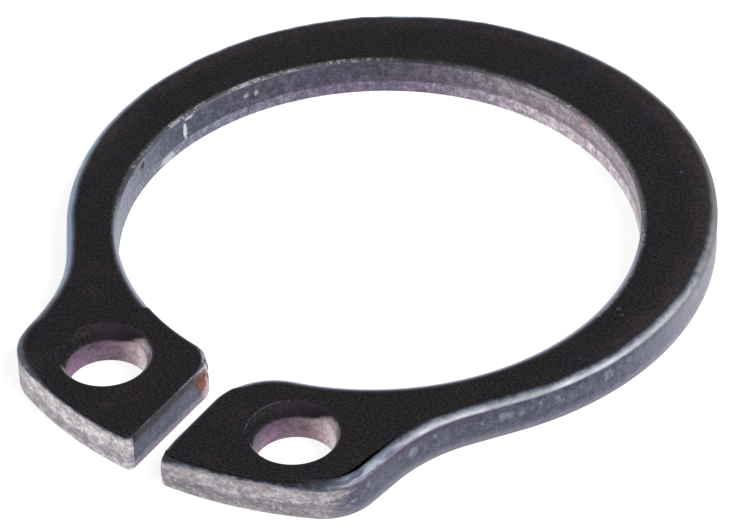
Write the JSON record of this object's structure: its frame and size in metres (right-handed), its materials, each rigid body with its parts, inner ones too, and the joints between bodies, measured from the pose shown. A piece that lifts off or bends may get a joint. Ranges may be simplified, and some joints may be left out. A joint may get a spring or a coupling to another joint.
{
  "type": "retaining ring",
  "caption": "Flat external retaining ring for a grooved shaft, stamped from spring steel, with an off-centre rim, a narrow gap and lugs with plier holes.",
  "frame": {"origin": "on the ring's axis, at its lower face", "axes": "+Z along the ring's axis, out of its upper face; -Y towards the gap between the lugs"},
  "size_m": [0.016, 0.0186, 0.001],
  "materials": {
    "spring_steel": "dark phosphated, with paler sheared edges"
  },
  "bodies": {
    "root": {"retaining_ring": "spring_steel"}
  },
  "joints": []
}
